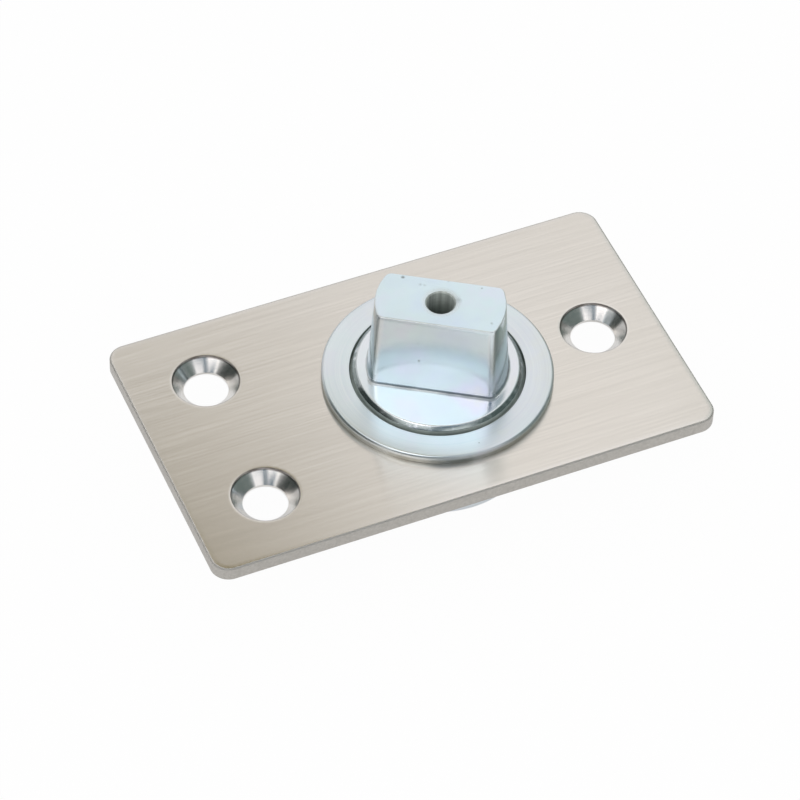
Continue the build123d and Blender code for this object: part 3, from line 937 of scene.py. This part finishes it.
def add_card(name, azimuth, elevation, width, height, colour, distance=0.8):
    """Stands an unseen card of one even colour round the object, facing it."""
    card = bmesh.new()
    bmesh.ops.create_grid(card, x_segments=1, y_segments=1, size=0.5)
    bmesh.ops.scale(card, verts=card.verts[:], vec=(width, height, 1.0))
    direction = towards(azimuth, elevation)
    bmesh.ops.rotate(card, verts=card.verts[:], cent=(0.0, 0.0, 0.0),
                     matrix=direction.to_track_quat("Z", "Y").to_matrix())
    bmesh.ops.translate(card, verts=card.verts[:], vec=direction * distance)
    tree = add_stage(name, name, card, seen=False)
    glow = add_node(tree, "ShaderNodeEmission", Color=(*colour, 1.0), Strength=1.0)
    end_in_output(tree, glow.outputs[0])


add_card("left_dark_card", 160.0, 18.0, width=1.3, height=0.6, colour=(0.04, 0.048, 0.045))
add_card("left_end_card", 132.0, 42.0, width=0.8, height=0.2, colour=(0.1, 0.15, 0.15), distance=0.78)
add_card("right_dark_card", -25.0, 24.0, width=1.12, height=0.7, colour=(0.14, 0.178, 0.17))
add_card("right_back_card", 25.0, 35.0, width=0.49, height=0.6, colour=(0.42, 0.49, 0.47))
add_card("right_low_card", 25.0, 5.0, width=0.9, height=0.5, colour=(0.17, 0.17, 0.16), distance=0.82)
add_card("front_dark_card", -112.0, 13.0, width=1.3, height=0.46, colour=(0.08, 0.1, 0.1))


def add_arch(name, reach, left, right, start, end, colour, fade_start, fade_end):
    """Bends an unseen card over the object about the X axis, which thins out between two places along X."""
    arch = bmesh.new()
    ends = [arch.verts.new((x, reach * cos(radians(start)), reach * sin(radians(start))))
            for x in (left, right)]
    edge = arch.edges.new(ends)
    bmesh.ops.spin(arch, geom=ends + [edge], cent=(0.0, 0.0, 0.0), axis=(1.0, 0.0, 0.0),
                   angle=radians(end - start), steps=24)
    tree = add_stage(name, name, arch, seen=False)
    place = tree.nodes.new("ShaderNodeTexCoord").outputs["Object"]
    glow = add_node(tree, "ShaderNodeEmission", Color=(*colour, 1.0), Strength=1.0)
    clear = add_node(tree, "ShaderNodeBsdfTransparent")
    fade = remap(tree, along(tree, place, "X"), fade_start, fade_end)
    thinned = add_node(tree, "ShaderNodeMixShader", i0=fade, i1=glow.outputs[0], i2=clear.outputs[0])
    end_in_output(tree, thinned.outputs[0])


add_arch("overhead_warm_arch", reach=0.28, left=-0.06, right=0.13, start=55.0, end=100.0,
         colour=(0.2, 0.155, 0.04), fade_start=0.006, fade_end=0.078)
add_arch("back_grey_arch", reach=0.6, left=-0.8, right=0.8, start=2.0, end=38.0,
         colour=(0.6, 0.6, 0.6), fade_start=0.85, fade_end=0.9)
add_arch("front_grey_arch", reach=0.98, left=-1.0, right=1.0, start=108.0, end=178.0,
         colour=(0.07, 0.14, 0.2), fade_start=0.12, fade_end=0.5)


def add_lamp(name, azimuth, elevation, width, height, strength):
    """Hangs a soft lamp round the object, facing it."""
    direction = towards(azimuth, elevation)
    data = bpy.data.lights.new(name, "AREA")
    data.shape = "RECTANGLE"
    data.size = width
    data.size_y = height
    data.color = lamp_colour
    data.energy = strength * pi * width * height
    lamp = bpy.data.objects.new(name, data)
    lamp.location = direction * lamp_distance
    lamp.rotation_euler = direction.to_track_quat("Z", "Y").to_euler()
    lamp.visible_camera = False
    bpy.context.scene.collection.objects.link(lamp)


add_lamp("left_soft_lamp", -141.0, 56.0, width=0.48, height=0.66, strength=1.38)
add_lamp("low_soft_lamp", -119.0, 41.0, width=0.2, height=0.14, strength=0.45)
add_lamp("right_soft_lamp", -89.0, 33.0, width=0.5, height=0.24, strength=1.2)
bpy.context.scene.view_settings.view_transform = "Standard"


# Camera: a long lens a good three quarters of a metre away, above the front long side and to its left,
# turned a little about its own axis.
camera_azimuth = radians(-24.64)
camera_elevation = radians(48.59)
camera_roll = radians(2.03)
camera_target = Vector((-8.89, -3.07, 3.0)) * MM
camera_distance = 761.91 * MM
back = Vector((sin(camera_azimuth) * cos(camera_elevation), -cos(camera_azimuth) * cos(camera_elevation),
               sin(camera_elevation)))
level_right = (-back).cross(Vector((0.0, 0.0, 1.0))).normalized()
level_up = level_right.cross(-back)
right = level_right * cos(camera_roll) + level_up * sin(camera_roll)
up = level_up * cos(camera_roll) - level_right * sin(camera_roll)
camera_data = bpy.data.cameras.new("camera")
camera_data.sensor_width = 36.0
camera_data.lens = 184.87
camera_data.clip_start = 0.01
camera = bpy.data.objects.new("camera", camera_data)
camera.matrix_world = Matrix.Translation(camera_target + back * camera_distance) \
    @ Matrix((right, up, back)).transposed().to_4x4()
bpy.context.scene.collection.objects.link(camera)
bpy.context.scene.camera = camera
